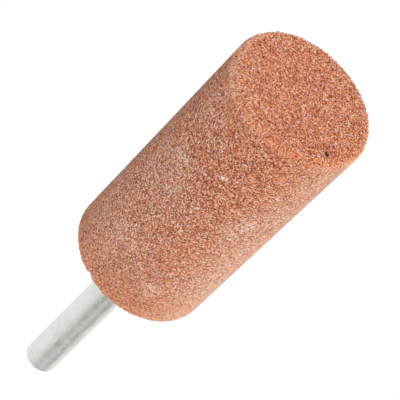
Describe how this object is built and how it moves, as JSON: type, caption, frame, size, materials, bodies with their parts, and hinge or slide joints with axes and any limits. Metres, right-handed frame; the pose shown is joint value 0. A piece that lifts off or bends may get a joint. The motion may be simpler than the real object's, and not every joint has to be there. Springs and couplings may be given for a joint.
{
  "type": "mounted point",
  "caption": "Cylindrical bonded-abrasive grinding head with rounded rims, cemented on the knurled tang of a plain round steel shank that a collet grips.",
  "frame": {"origin": "centre of the head's free end face, on which the point stands", "axes": "+Z along the tool's axis from the free end face towards the shank's tip"},
  "size_m": [0.025, 0.025, 0.086],
  "materials": {
    "abrasive": "coarse vitrified grain, open pores, matt",
    "steel": "bright drawn steel with faint lengthwise marks",
    "cement": "set mounting cement, matt"
  },
  "bodies": {
    "root": {"abrasive_head": "abrasive", "shank": "steel", "bond_cement": "cement"}
  },
  "joints": []
}
